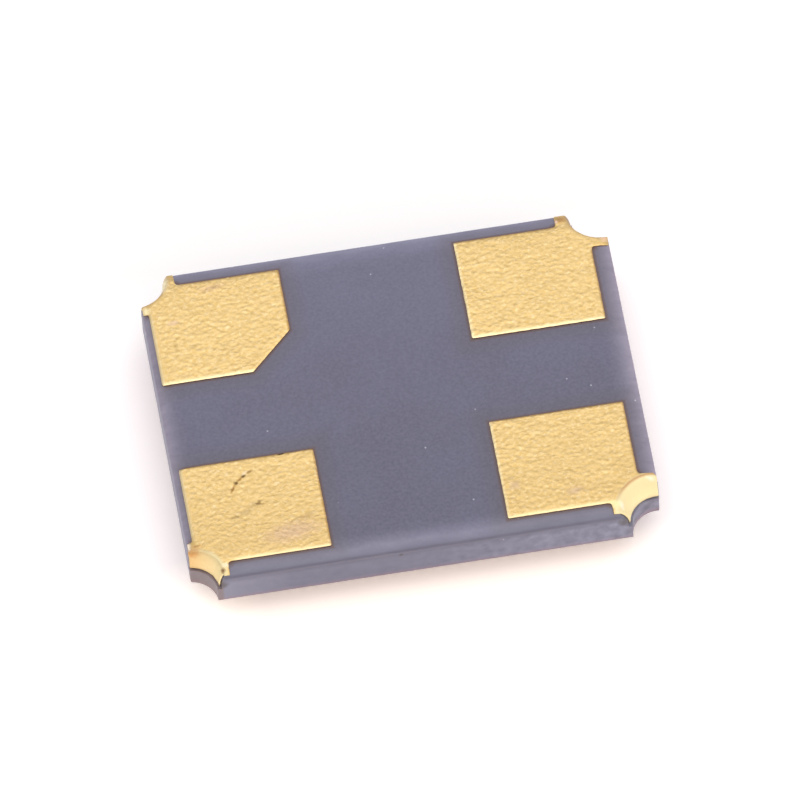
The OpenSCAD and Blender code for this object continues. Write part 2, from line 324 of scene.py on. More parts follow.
def flare_at(corner):
    return wide_flare_w if corner == (1, -1) else flare_w


def ledge_at(corner):
    return wide_frame_notch_r if corner == (-1, 1) else frame_notch_r


def notch_place(corner):
    return Vector((corner[0] * half_l + punch_shift, corner[1] * half_w, 0))


def notch_rings(corner, grow):
    """Heights and radii of the notch, from the joint between the two sheets up."""
    width = flare_at(corner)
    across, deep = width / (1 - math.cos(flare_turn)), flare_h / math.sin(flare_turn)
    last_turn = math.asin((flare_h + grow) / (deep + grow))
    rings = [(joint_z, ledge_at(corner)), (joint_z, notch_r - grow)]
    for step in range(flare_steps + 1):
        turn = last_turn * step / flare_steps
        radius = notch_r + across - (across + grow) * math.cos(turn)
        rings.append((face_z - flare_h + (deep + grow) * math.sin(turn), radius))
    rings.append((face_z + cutter_over, radius))
    return rings


# %% Turn the cutters, and cut
round_sides = 128


def notch_cutter(corner, grow):
    x, y, _ = notch_place(corner)
    z, radius = frame_z - cutter_over, ledge_at(corner)
    disc = {"vertices": round_sides, "radius": radius, "fill_type": "NGON", "location": (x, y, z)}
    cutter = primitive("cutter", bpy.ops.mesh.primitive_circle_add, **disc)
    edit(cutter)
    pick_all()
    for next_z, next_radius in notch_rings(corner, grow):
        bpy.ops.mesh.extrude_region_move(TRANSFORM_OT_translate={"value": (0, 0, next_z - z)})
        share = next_radius / radius
        bpy.ops.transform.resize(value=(share, share, 1), center_override=(x, y, 0))
        z, radius = next_z, next_radius
    pick_all()
    bpy.ops.mesh.remove_doubles(threshold=touching)
    bpy.ops.mesh.normals_make_consistent(inside=False)
    leave_edit()
    return cutter


for corner in CORNERS.values():
    combine(ceramic, notch_cutter(corner, 0), "DIFFERENCE")
    combine(plated_form, notch_cutter(corner, land_t), "DIFFERENCE")
ceramic_form = copy_of(ceramic, "ceramic_form")
print(faces_in(ceramic), "|", faces_in(plated_form))

# %% Round the frame's corners
frame_corner_r, frame_corner_segments = 0.03, 4


def is_frame_corner(place, along):
    return is_upright(place, along) and place.z < joint_z and abs(place.x) > half_l - slack


edit(ceramic)
bevel_edges(ceramic, is_frame_corner, frame_corner_r, frame_corner_segments)
leave_edit()
print(faces_in(ceramic))

# %% [markdown]
# ## The cavity, and the seats of the conductors
#
# The frame sheet is a window round the chip and crystal. The printed conductors lie in the
# ceramic between the two sheets, and metal-filled holes lead through them. Each conductor is
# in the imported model, so a copy of it cuts its own seat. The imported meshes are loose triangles,
# so the copy is merged first.

# %% Pocket
pocket_l, pocket_w = 1.82, 1.48
pocket_x = 0.21
pocket_corner_r = 0.08
pocket_corner_segments = 6
edge_r, edge_segments = 0.006, 2
sharp = math.radians(50)

pocket_low = (pocket_x - pocket_l / 2, -pocket_w / 2, frame_z - cutter_over)
pocket_high = (pocket_x + pocket_l / 2, pocket_w / 2, joint_z)
rounding = (pocket_corner_r, pocket_corner_segments)
combine(ceramic, rounded_box("pocket", pocket_low, pocket_high, *rounding), "DIFFERENCE")
only_sharp = {"limit_method": "ANGLE", "angle_limit": sharp}
apply_modifier(ceramic, "BEVEL", width=edge_r, segments=edge_segments, **only_sharp)
print(faces_in(ceramic))

# %% Seats
CONDUCTORS = [
    "enable_trace",
    "ground_trace",
    "output_trace",
    "supply_trace",
    "crystal_trace_a",
    "crystal_trace_b",
    "lid_ground_via",
]


def bench_copy(node):
    """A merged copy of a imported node, in millimetres."""
    copy = copy_of(nodes[node], "seat_" + node)
    edit(copy)
    pick_all()
    bpy.ops.transform.resize(value=[1 / MM] * 3, center_override=(0, 0, 0))
    bpy.ops.mesh.remove_doubles(threshold=nearly_touching)
    leave_edit()
    return copy


for node in CONDUCTORS:
    combine(ceramic, bench_copy(node), "DIFFERENCE")
print(faces_in(ceramic))

# %% [markdown]
# ## Fine mesh for the ceramic
#
# The flat block now gets a grid of cuts, so that its surface can be shaped. Snapped ceramic is
# never quite straight: its sides swell and dip by a few thousandths of a millimetre, and the
# light along the edge shows it. A Displace modifier with soft noise does that, and a vertex
# group keeps it to the sides, so that the land face stays flat. The noise only pulls inwards,
# so the part keeps its outline.

# %% Slice
grid_step = 0.05
side_step = 0.025


def slice_up(axis, low, high, step):
    """Cuts all faces of the piece in edit mode by parallel planes."""
    normal = Vector((0, 0, 0))
    normal[axis] = 1
    count = round((high - low) / step)
    for cut in range(1, count):
        place = normal * (low + (high - low) * cut / count)
        pick_all()
        bpy.ops.mesh.bisect(plane_co=place, plane_no=normal, threshold=nearly_touching)


edit(ceramic)
slice_up(0, -half_l, half_l, grid_step)
slice_up(1, -half_w, half_w, grid_step)
slice_up(2, frame_z, face_z - roll_h, side_step)
leave_edit()
merge_close(ceramic, slack / 2)
print(faces_in(ceramic))

# %% Swell the snapped sides
side_swell = 0.002
swell_size = 0.2


def group_of_points(piece, name, test, soften):
    """A vertex group of the points that pass the test, with its edge softened."""
    edit(piece)
    pick(piece, "VERT", test)
    piece.vertex_groups.new(name=name)
    bpy.ops.object.vertex_group_assign()
    pick_all()
    bpy.ops.object.vertex_group_smooth(factor=0.5, repeat=soften)
    leave_edit()


def soft_noise(name, kind, size, **settings):
    texture = bpy.data.textures.new(name, kind)
    texture.noise_scale = size
    for key, value in settings.items():
        setattr(texture, key, value)
    return texture


def is_near_side(place, normal):
    return abs(place.x) > half_l - roll_w / 2 or abs(place.y) > half_w - roll_w / 2


group_of_points(ceramic, "sides", is_near_side, soften=3)
swell = {
    "texture": soft_noise("swell", "CLOUDS", swell_size),
    "texture_coords": "LOCAL",
    "vertex_group": "sides",
    "mid_level": 1,
}
apply_modifier(ceramic, "DISPLACE", strength=side_swell, **swell)
print(faces_in(ceramic))

# %% [markdown]
# ## The four lands: one film over everything
#
# Tungsten paste was printed on the face through a screen, and it ran over the rolled edge in
# two small ears and down the notch. Nickel and gold were plated on it. So each land is one
# thin skin, and it is cut as one: its outline, pushed up through the ceramic, is kept where it
# lies between the ceramic's form and the same form grown by the film's thickness. The ears end
# half-way down the roll, a little sooner at the output land, and the two front linings were
# torn off a hair short of the snap.

# %% Land outline
land_l, land_w = 0.924, 0.809
land_gap_x, land_gap_y = 1.192, 0.682
land_mark, land_corner_r = 0.3, 0.014
land_corner_segments = 6
ear_x, ear_y = 1.3, 0.94
ear_drop, short_ear_drop = 0.014, 0.011
print_shift = -0.04


def box_at(name, corner, near, far, low_z, high_z):
    """A box in one quarter of the print, between two distances from the print's middle."""
    xs = sorted(corner[0] * x + print_shift for x in (near[0], far[0]))
    ys = sorted(corner[1] * y for y in (near[1], far[1]))
    return box_between(name, (xs[0], ys[0], low_z), (xs[1], ys[1], high_z))


def land_outline(corner):
    """The printed plate with round corners, and the patch at its corner that makes the ears."""
    drop = short_ear_drop if corner == CORNERS["land_3_output"] else ear_drop
    low_z, high_z = face_z - drop, face_z + cutter_over
    near = (land_gap_x / 2, land_gap_y / 2)
    far = (near[0] + land_l, near[1] + land_w)
    inner = Vector((corner[0] * near[0] + print_shift, corner[1] * near[1]))
    outer = Vector((corner[0] * far[0] + print_shift, corner[1] * far[1]))
    marked = corner == CORNERS["land_1_enable"]

    def is_inner(place, along):
        return is_upright(place, along) and (place.xy - inner).length < slack

    def is_round(place, along):
        at_outer = (place.xy - outer).length < slack
        return is_upright(place, along) and not at_outer and not (marked and is_inner(place, along))

    plate = box_at("plate", corner, near, far, low_z, high_z)
    edit(plate)
    bevel_edges(plate, is_round, land_corner_r, land_corner_segments)
    if marked:
        bevel_edges(plate, is_inner, land_mark, 1)
    leave_edit()
    edge = (half_l - corner[0] * print_shift, half_w)
    combine(plate, box_at("ears", corner, (ear_x, ear_y), edge, low_z, high_z), "UNION")
    return plate


# %% Notch lining
front_margin = 0.02


def notch_lining(corner):
    """What the plating fills of the notch, from the joint up, inside the package's outline."""
    place = notch_place(corner)
    place.z = (face_z + joint_z) / 2
    hole = {"radius": notch_r + flare_at(corner), "depth": face_z - joint_z, "location": place}
    lining = primitive("lining", bpy.ops.mesh.primitive_cylinder_add, vertices=round_sides, **hole)
    stops_at = Vector((-half_l, front_margin - half_w, joint_z))
    limit = box_between("limit", stops_at, (half_l, half_w, face_z + cutter_over))
    combine(lining, limit, "INTERSECT")
    return lining


# %% Cut the lands
lands = {}
for name, corner in CORNERS.items():
    outline = land_outline(corner)
    combine(outline, notch_lining(corner), "UNION")
    land = copy_of(plated_form, "gold_" + name)
    combine(land, outline, "INTERSECT")
    combine(land, copy_of(ceramic_form, "core"), "DIFFERENCE")
    lands[name] = land
    print(faces_in(land))
bpy.data.objects.remove(plated_form)
bpy.data.objects.remove(ceramic_form)

# %% [markdown]
# ## The print's own texture
#
# Close up, the gold is not flat. The screen left short ripples in the paste, about 0.03 mm
# apart and longer along the package than across it, the print's rim slumped round before it
# dried, and its outline wavers with the threads of the screen. A voxel remesh gives the skin
# an even mesh as fine as the ripples need. Smooth rounds the rims, and Displace presses the
# ripples in. The land is squeezed along X while they are made, so they come out drawn along X.

# %% Remesh, slump, ripple
voxel = 0.0065
slump_passes = 26
face_from = 0.6
ripple_size, ripple_depth, ripple_stretch = 0.025, 0.0038, 1.2
lump_size, lump_depth = 0.12, 0.003
waver_size, waver_reach = 0.05, 0.004


def is_printed_face(place, normal):
    corner = (math.copysign(1, place.x), math.copysign(1, place.y))
    from_notch = (place.xy - notch_place(corner).xy).length
    return place.z > face_z + face_from * land_t and from_notch > notch_r + flare_at(corner)


def is_inside_outline(place, normal):
    return abs(place.x) < half_l - roll_w / 2 and abs(place.y) < half_w - roll_w / 2


ripples = soft_noise("ripples", "CLOUDS", ripple_size, noise_depth=1)
lumps = soft_noise("lumps", "CLOUDS", lump_size)
waver = soft_noise("waver", "CLOUDS", waver_size)
for land in lands.values():
    apply_modifier(land, "REMESH", mode="VOXEL", voxel_size=voxel)
    apply_modifier(land, "SMOOTH", factor=0.5, iterations=slump_passes)
    group_of_points(land, "face", is_printed_face, soften=2)
    group_of_points(land, "inside", is_inside_outline, soften=2)
    on_face = {"texture_coords": "LOCAL", "vertex_group": "face", "mid_level": 1, "direction": "Z"}
    resize(land, 1 / ripple_stretch, 1, 1)
    apply_modifier(land, "DISPLACE", texture=ripples, strength=ripple_depth, **on_face)
    resize(land, ripple_stretch, 1, 1)
    apply_modifier(land, "DISPLACE", texture=lumps, strength=lump_depth, **on_face)
    for direction in "XY":
        sideways = {"texture_coords": "LOCAL", "vertex_group": "inside", "direction": direction}
        apply_modifier(land, "DISPLACE", texture=waver, strength=waver_reach, **sideways)
    print(faces_in(land))

# %% [markdown]
# ## The lid: a stamped plate, seam welded
#
# The lid is punched from rolled strip and welded to the ring by a pair of tapered rollers, which
# press its edge to a slope and leave a row of small overlapping weld spots. The plate starts as
# a box with bevelled corners. Its outer face is inset and lowered in a few steps, which makes
# the slope round. Then cuts at half the spots' pitch let every second line be pushed in.

# %% Lid: plate and slope
lid_corner_r, lid_corner_segments = 0.25, 12
weld_w, weld_h = 0.07, 0.02
weld_steps = 4
lid_low, lid_high = box_on_bench("lid")


def is_outer_face(place, normal):
    return normal.z < -steep and place.xy.length < slack


def in_steps(piece, is_picked, width, drop, steps):
    """Insets a face and moves it out, a quarter of a round at a time."""
    done_w, done_h = 0, 0
    for step in range(1, steps + 1):
        turn = math.radians(90) * step / steps
        inset, out = width * (1 - math.cos(turn)), drop * math.sin(turn)
        pick(piece, "FACE", is_picked)
        bpy.ops.mesh.inset(thickness=inset - done_w, use_even_offset=True)
        bpy.ops.transform.translate(value=(0, 0, done_h - out))
        done_w, done_h = inset, out


lid = box_between("seam_welded_lid", (lid_low.x, lid_low.y, lid_low.z + weld_h), lid_high)
edit(lid)
bevel_edges(lid, is_upright, lid_corner_r, lid_corner_segments)
in_steps(lid, is_outer_face, weld_w, weld_h, weld_steps)
print("lid with its slope:", len(bmesh.from_edit_mesh(lid.data).faces), "faces")

# %% Lid: weld spots
spot_pitch, spot_depth = 0.07, 0.006
half_spot = spot_pitch / 2
near_cut = 0.01
weld_passes = 3
sliver = 0.001
slice_up(0, lid_low.x, lid_high.x, half_spot)
slice_up(1, lid_low.y, lid_high.y, half_spot)


def is_slope(place, normal):
    return lid_low.z + slack < place.z < lid_low.z + weld_h - slack


def is_spot(place, normal):
    """On the slope of one side, at every second cut along it."""
    along_x = abs(place.y) > abs(lid_high.y) - weld_w
    span = lid_high.x if along_x else lid_high.y
    cuts = round(2 * span / half_spot)
    cut = ((place.x if along_x else place.y) + span) * cuts / (2 * span)
    return is_slope(place, normal) and abs(cut - round(cut)) < near_cut and round(cut) % 2 == 1


pick(lid, "VERT", is_spot)
bpy.ops.transform.translate(value=(0, 0, spot_depth))
leave_edit()
merge_close(lid, sliver)
group_of_points(lid, "slope", is_slope, soften=0)
apply_modifier(lid, "SMOOTH", factor=0.5, iterations=weld_passes, vertex_group="slope")
print(faces_in(lid))

# %% [markdown]
# ## The seal ring
#
# The ring is stamped from the same alloy and brazed to the plated frame. The punch draws the
# metal down a little at one side of the cut, and leaves a sharp burr side that is then tumbled
# smooth. Its window is cut with a second bevelled box, the drawn side gets a wide soft bevel,
# and a narrow Bevel modifier takes the edge off the rest.

# %% Seal ring
ring_wall = 0.27
ring_corner_r, ring_inner_r = 0.26, 0.12
drawn_r, drawn_segments, tumbled_r = 0.018, 4, 0.005

ring_low, ring_high = box_on_bench("seal_ring")
past_ring = Vector((0, 0, cutter_over))
wall = Vector((ring_wall, ring_wall, 0))
ring = rounded_box("stamped_seal_ring", ring_low, ring_high, ring_corner_r, lid_corner_segments)
window_low, window_high = ring_low + wall - past_ring, ring_high - wall + past_ring
window = rounded_box("window", window_low, window_high, ring_inner_r, lid_corner_segments)
combine(ring, window, "DIFFERENCE")


def is_drawn_edge(place, along):
    """Level, on the ring's upper side, and at its outer wall."""
    at_top = abs(along.z) < 1 - steep and place.z > ring_high.z - slack
    outside_x = abs(place.x) > ring_high.x - ring_corner_r
    outside_y = abs(place.y) > ring_high.y - ring_corner_r
    in_window = abs(place.x) < window_high.x + slack and abs(place.y) < window_high.y + slack
    return at_top and (outside_x or outside_y) and not in_window


edit(ring)
bevel_edges(ring, is_drawn_edge, drawn_r, drawn_segments)
leave_edit()
apply_modifier(ring, "BEVEL", width=tumbled_r, segments=edge_segments, **only_sharp)
merge_close(ring, sliver)
print(faces_in(ring))

# %% [markdown]
# ## Back to metres
#
# The finished pieces shrink by a thousand about the origin, so that each lands where the packed
# model has it. The scale is applied to the mesh, and the object itself stays at the origin,
# unscaled. Faces that meet at a shallow angle are shaded as one smooth surface.

# %% Shrink and smooth
smooth_below = math.radians(40)

for piece in [ceramic, ring, lid, *lands.values()]:
    resize(piece, MM, MM, MM)
    bpy.ops.object.shade_smooth_by_angle(angle=smooth_below)
    print(piece.name, "is", [round(side * 1000, 3) for side in piece.dimensions], "mm")

# %% [markdown]
# ## Helpers for the finishes
#
# Every finish is a small tree of shader nodes. One function adds a node with its settings and
# its links, so that a tree reads from its coordinates down to its shader. Colours are written
# as sRGB hex, as a paint program shows them, and turned to the linear values that light adds up
# in. All patterns are laid out in millimetres, read from the piece's own object coordinates.

# %% Colours and nodes
def linear(hex_colour):
    channels = [int(hex_colour[i:i + 2], 16) / 255 for i in (1, 3, 5)]
    knee = 0.04045
    return [c / 12.92 if c <= knee else ((c + 0.055) / 1.055) ** 2.4 for c in channels] + [1]


def first_output(node):
    return next(socket for socket in node.outputs if socket.enabled)


def add(tree, kind, *values, inputs=None, **settings):
    """Adds a shader node, such as a "Mapping" or, with its operation, a "Math MULTIPLY".

    Values fill its open inputs in order, and inputs holds more by name. A value is a number, a
    colour, a socket, or a node whose first output is linked."""
    kind, _, operation = kind.partition(" ")
    node = tree.nodes.new("ShaderNode" + kind)
    if operation:
        node.operation = operation
    for name, value in settings.items():
        setattr(node, name, value)
    sockets = [socket for socket in node.inputs if socket.enabled]
    by_name = {socket.name: socket for socket in reversed(sockets)}
    named = [(by_name[name], value) for name, value in (inputs or {}).items()]
    for socket, value in [*zip(sockets, values), *named]:
        if isinstance(value, bpy.types.Node):
            value = first_output(value)
        if isinstance(value, bpy.types.NodeSocket):
            tree.links.new(value, socket)
        else:
            socket.default_value = value
    return node


# %% A new finish, and its links
def new_finish(name, pieces, **values):
    """A new material on some pieces. Returns its tree, shader and coordinates in millimetres.

    Values fill the shader's sockets, where Base_Color=value stands for Base Color."""
    material = bpy.data.materials.new(name)
    material.use_nodes = True
    for piece in pieces:
        piece.data.materials.clear()
        piece.data.materials.append(material)
    tree = material.node_tree
    shader = tree.nodes["Principled BSDF"]
    for key, value in values.items():
        shader.inputs[key.replace("_", " ")].default_value = value
    place = add(tree, "TexCoord").outputs["Object"]
    print(name, "on", ", ".join(piece.name for piece in pieces))
    return tree, shader, add(tree, "Mapping", place, inputs={"Scale": [1 / MM] * 3})


def wire(tree, shader, height=None, rise=0, **links):
    """Links nodes to the shader's sockets, where Base_Color=node stands for Base Color.

    A height becomes relief, which rises by so many metres."""
    if height:
        links["Normal"] = add(tree, "Bump", inputs={"Height": height, "Distance": rise})
    for name, node in links.items():
        tree.links.new(first_output(node), shader.inputs[name.replace("_", " ")])


# %% [markdown]
# ## Masks that follow the part
#
# Dirt, wear and halos belong to places: beside a land, along an edge, in a groove. A mask is 1
# where such a thing shows in full and 0 where it doesn't. Most are worked out from a distance,
# which a Map Range node turns into a fade. A mark is an ellipsoid laid at a place: a Mapping
# node squeezes it to a unit ball, and noise frays its rim, so that it doesn't look stamped.

# %% Fades, marks and blends
fray_mm = 0.02
mark_skirt = (0.3, 1)


def fade(tree, distance, near, far, power=1):
    """A mask: 1 up to near, 0 from far on. A power above 1 makes it fall off sooner."""
    even = add(tree, "MapRange", distance, near, far, 1, 0)
    return add(tree, "Math POWER", even, power)


def mark(tree, in_mm, place, reach, turn=0, fray=0.4):
    """A mask: an ellipsoid about a place, turned about Z by an angle and frayed by noise."""
    angles = (0, 0, math.radians(turn))
    squeezed = add(tree, "Mapping", in_mm, place, angles, reach, vector_type="TEXTURE")
    away = add(tree, "VectorMath LENGTH", squeezed)
    noise = add(tree, "TexNoise", in_mm, 1 / fray_mm, 2)
    frayed = add(tree, "Math MULTIPLY_ADD", noise, 2 * fray, away)
    return fade(tree, frayed, *(fray + skirt for skirt in mark_skirt))


def blended(tree, masks, amount, under, over):
    """One colour over another, where all the masks show. A colour is hex or a node."""
    share = amount
    for mask in masks:
        share = add(tree, "Math MULTIPLY", mask, share, use_clamp=True)
    under, over = (linear(end) if isinstance(end, str) else end for end in (under, over))
    return add(tree, "Mix", share, under, over, data_type="RGBA")


# %% Distances from the lands and the notches
def beyond(tree, in_mm, middle, half):
    """How far a place is past the sides of a box, along each axis. Below 0 it is inside."""
    off = add(tree, "VectorMath SUBTRACT", in_mm, middle)
    off = add(tree, "VectorMath ABSOLUTE", off)
    return add(tree, "VectorMath SUBTRACT", off, half)


def past_lands(tree, in_mm):
    """Distance to the nearest land's outline, below 0 on a land."""
    nearest = None
    for corner in CORNERS.values():
        middle_x = corner[0] * (land_gap_x + land_l) / 2 + print_shift
        middle_y = corner[1] * (land_gap_y + land_w) / 2
        past = beyond(tree, in_mm, (middle_x, middle_y, 0), (land_l / 2, land_w / 2, 0))
        past = add(tree, "SeparateXYZ", past).outputs
        past = add(tree, "Math MAXIMUM", past["X"], past["Y"])
        if corner == CORNERS["land_1_enable"]:
            cut = (middle_x + land_l / 2, middle_y - land_w / 2 + land_mark, 0)
            from_cut = add(tree, "VectorMath SUBTRACT", in_mm, cut)
            across = add(tree, "VectorMath DOT_PRODUCT", from_cut, Vector((1, -1, 0)).normalized())
            past = add(tree, "Math MAXIMUM", past, across)
        nearest = add(tree, "Math MINIMUM", nearest, past) if nearest else past
    return nearest


def from_notches(tree, in_mm):
    """Distance to the axis of the nearest punched hole."""
    hole = beyond(tree, in_mm, (punch_shift, 0, 0), (half_l, half_w, 0))
    flat = add(tree, "VectorMath MULTIPLY", hole, (1, 1, 0))
    return add(tree, "VectorMath LENGTH", flat)


# %% [markdown]
# ## Dark alumina, as fired
#
# The package is alumina darkened with metal oxides, pressed from tape and fired bare. It has
# no glaze, so light spreads in its surface and only a soft sheen comes back. A slow noise makes
# the faint clouds of uneven oxide and a fine one the fired grains, which are some 0.003 mm in
# the real tape: too fine to show, they are drawn about 0.02 mm wide. The face is a little paler
# towards the back.

# %% Dark alumina: clouds and grain
cloud_mm, grain_mm = 0.5, 0.02
grain_rise = 0.0012 * MM

tree, shader, in_mm = new_finish("dark_alumina_as_fired", [ceramic], IOR=1.75)
clouds = add(tree, "TexNoise", in_mm, 1 / cloud_mm, 3)
grains = add(tree, "TexNoise", in_mm, 1 / grain_mm, 3)
parts = add(tree, "SeparateXYZ", in_mm).outputs
body = blended(tree, [add(tree, "MapRange", clouds, 0.3, 0.7)], 1, "#474760", "#4f516b")
body = blended(tree, [add(tree, "MapRange", grains, 0.3, 0.75)], 0.19, body, "#8f8ea6")
body = blended(tree, [add(tree, "MapRange", parts["Y"], -0.5, 1.1)], 0.11, body, "#9090b4")
sheen = add(tree, "MapRange", clouds, 0, 1, 0.4, 0.52)
wire(tree, shader, grains, grain_rise, Roughness=sheen)

# %% [markdown]
# The rolled edges catch the bright walls of the light, and that sheen is painted into their
# colour: paler towards each edge, by a different amount at each side, in streaks along X. The
# groove under the roll is darkened by painted shade, and a wider painted shade lies along the
# front edge. Below it the snapped face shows bluer ceramic with pale chips, more of them to
# the right, and a pink band at its foot, which is painted warm light from the floor. The
# notches' walls are browner on the left.

# %% Dark alumina: painted sheen on the edges, painted shade in the groove
edge_sheen_reach = 0.2
streak_mm, streak_stretch = 0.06, 3
groove_shade_full, groove_shade_end = 0.006, 0.044
EDGE_SHEEN = [
    # axis, side, half size, how soon it falls off, amount, colour
    ("X", -1, half_l, 3.2, 0.85, "#a39db3"),
    ("X", 1, half_l, 2.3, 0.92, "#a39db3"),
    ("Y", -1, half_w, 2.0, 0.72, "#9fa0ba"),
    ("Y", 1, half_w, 1.8, 0.62, "#9fa0ba"),
]
drawn_out = add(tree, "Mapping", in_mm, inputs={"Scale": (1 / streak_stretch, 1, 1)})
streaks = add(tree, "TexNoise", drawn_out, 1 / streak_mm, 2)
streaks = add(tree, "MapRange", streaks, 0.3, 0.7, 0.8, 1.2)
# Painted sheen: each rolled edge is drawn paler towards its side, where it catches the bright
# walls.
for axis, side, half, power, amount, colour in EDGE_SHEEN:
    past = add(tree, "Math MULTIPLY_ADD", parts[axis], side, -half)
    painted_sheen = fade(tree, past, 0, -edge_sheen_reach, power)
    body = blended(tree, [painted_sheen, streaks], amount, body, colour)
height = parts["Z"]
from_groove = add(tree, "Math SUBTRACT", height, groove_z)
from_groove = add(tree, "Math ABSOLUTE", from_groove)
# Painted shade in the groove under the roll.
body = blended(tree, [fade(tree, from_groove, groove_shade_full, groove_shade_end)], 0.2, body, "#36364e")
print("dark alumina has", len(tree.nodes), "nodes")

# %% Dark alumina: snapped sides
chip_mm = 0.07
front_shade_full, front_shade_end = 0.014, 0.065
snap_end, snap_full = groove_z - 0.01, groove_z - 0.03
warm_bounce_band, wall_band = 0.05, 0.02
base_edge = (frame_z + 0.001, frame_z + 0.004)
left_end_x = (-0.9, -1.35)
# from one X to another, and from one amount to another
chips_by_x = (-0.2, 1.2, 0.1, 0.68)
brown_by_x = (-1, 1, 0.5, 0.1)
above_base = add(tree, "MapRange", height, *base_edge)
snapped = fade(tree, height, snap_full, snap_end)
snapped = add(tree, "Math MULTIPLY", snapped, above_base)
body = blended(tree, [snapped], 0.72, body, "#414769")
chips = add(tree, "TexNoise", in_mm, 1 / chip_mm, 3)
chips = add(tree, "MapRange", chips, 0.3, 0.75)
to_right = add(tree, "MapRange", parts["X"], *chips_by_x)
body = blended(tree, [chips, snapped], to_right, body, "#9a9fbe")
left_end = add(tree, "MapRange", parts["X"], *left_end_x)
body = blended(tree, [left_end, snapped], 0.32, body, "#a3a5be")
# Painted warm light: a pink band along the foot of the snapped sides, thrown up from the floor.
warm_bounce_at_base = fade(tree, height, frame_z, frame_z + warm_bounce_band)
body = blended(tree, [warm_bounce_at_base, above_base], 0.5, body, "#a07a88")
on_wall = fade(tree, from_notches(tree, in_mm), notch_r + 0.2 * wall_band, notch_r + wall_band)
to_left = add(tree, "MapRange", parts["X"], *brown_by_x)
body = blended(tree, [on_wall, snapped], to_left, body, "#7a5a46")
# Painted shade along the front edge, over the lower roll and the top of the snapped face.
from_score = add(tree, "VectorMath SUBTRACT", in_mm, (0, -half_w, groove_z))
from_score = add(tree, "VectorMath MULTIPLY", from_score, (0, 1, 1))
from_score = add(tree, "VectorMath LENGTH", from_score)
body = blended(tree, [fade(tree, from_score, front_shade_full, front_shade_end)], 0.62, body, "#3f4260")
print("dark alumina has", len(tree.nodes), "nodes")

# %% [markdown]
# The print sinks a little into the ceramic, and its foot is bare tungsten, so a thin brown line
# runs round every land, darkened further by painted shadow at the foot of the print. Its mask is
# the distance to the nearest land's outline. On the roll the paste bled further, which leaves a
# faint halo, and where an ear sets off, painted shade darkens the inside corner.

# %% Dark alumina: foot of the print, with painted shadow
foot_shadow_w, halo_w, ear_shade_r = 0.018, 0.15, 0.045
foot_shadow_drop = (0.004, 0.012)
tungsten_and_shadow = "#55311d"
off_land = past_lands(tree, in_mm)
on_roll = fade(tree, height, face_z - 0.3 * roll_h, face_z - roll_h)
halo = fade(tree, off_land, 0, halo_w)
body = blended(tree, [halo, on_roll], 0.3, body, "#4f3e31")
on_face = fade(tree, height, *(face_z - drop for drop in foot_shadow_drop))
# The brown line round each land: bare tungsten, and painted shadow at the foot of the print.
foot_line_and_shadow = fade(tree, off_land, 0.3 * foot_shadow_w, foot_shadow_w)
body = blended(tree, [foot_line_and_shadow, on_face], 0.6, body, tungsten_and_shadow)
for x_side, y_side in CORNERS.values():
    pad_x = x_side * (land_gap_x / 2 + land_l) + print_shift
    pad_y = y_side * (land_gap_y / 2 + land_w)
    ear_starts = ((pad_x, y_side * ear_y, face_z), (x_side * ear_x + print_shift, pad_y, face_z))
    for place in ear_starts:
        # Painted shade in the inside corner where each ear sets off.
        ear_shade = mark(tree, in_mm, place, [ear_shade_r] * 3, fray=0.2)
        body = blended(tree, [ear_shade], 0.7, body, tungsten_and_shadow)
print("dark alumina has", len(tree.nodes), "nodes")

# %% [markdown]
# Fired ceramic picks up dust and small stains when parts rub in the bag. The dust is a few
# cells of a Voronoi pattern, each with one bright dot. The stains are marks put where they are.
# Two dark marks under the front ears are painted shadows that the ears cast on the front face.

# %% Dark alumina: dust, stains, and painted shadows under the ears
dust_cell, dust_r, dust_chance = 0.13, 0.008, 0.64
STAINS_AND_SHADOWS = [
    # place, half-lengths, amount, colour
    ((-0.188, -1.25, 0.42), (0.018, 0.02, 0.014), 0.9, "#2b2735"),
    ((-1.602, 0.821, 0.45), (0.012, 0.02, 0.012), 0.9, "#e6e4ee"),
    # The next two are painted shadows that the front ears cast on the front face.
    ((1.335, -1.25, 0.40), (0.06, 0.05, 0.06), 0.8, "#35323f"),
    ((-1.398, -1.25, 0.385), (0.05, 0.05, 0.05), 0.8, "#34323e"),
]
dust = add(tree, "TexVoronoi", in_mm, 1 / dust_cell).outputs
luck = add(tree, "SeparateColor", dust["Color"]).outputs["Red"]
dusty = add(tree, "Math GREATER_THAN", luck, dust_chance)
dot = fade(tree, dust["Distance"], 0.3 * dust_r / dust_cell, dust_r / dust_cell)
body = blended(tree, [dusty, dot], 0.6, body, "#d6dae8")
for place, reach, amount, colour in STAINS_AND_SHADOWS:
    body = blended(tree, [mark(tree, in_mm, place, reach)], amount, body, colour)
wire(tree, shader, Base_Color=body)
print("dark alumina has", len(tree.nodes), "nodes")

# %% [markdown]
# ## Gold plate over a screened print
#
# The lands are tungsten paste, printed, fired, and plated with nickel and a micron of gold.
# Gold keeps every ripple of the print, so the surface glitters in short pale crests with darker
# troughs. The mesh holds the larger ripples. The finer ones are a noise stretched along X, which
# lifts the surface by a bump and also sets its colour: the crests are paler, partly from wear and
# partly as painted highlight, and the troughs are darker, as painted shade.
# In patches the paste had time to level. In the notch the plating lies on a punched wall, with
# no print texture, and is smooth but dull.

# %% Gold plate: ripples
fine_ripple_mm, fine_stretch = 0.022, 1.25
fine_rise = 0.0023 * MM
smooth_patch_mm = 0.3
lip_w = 0.02

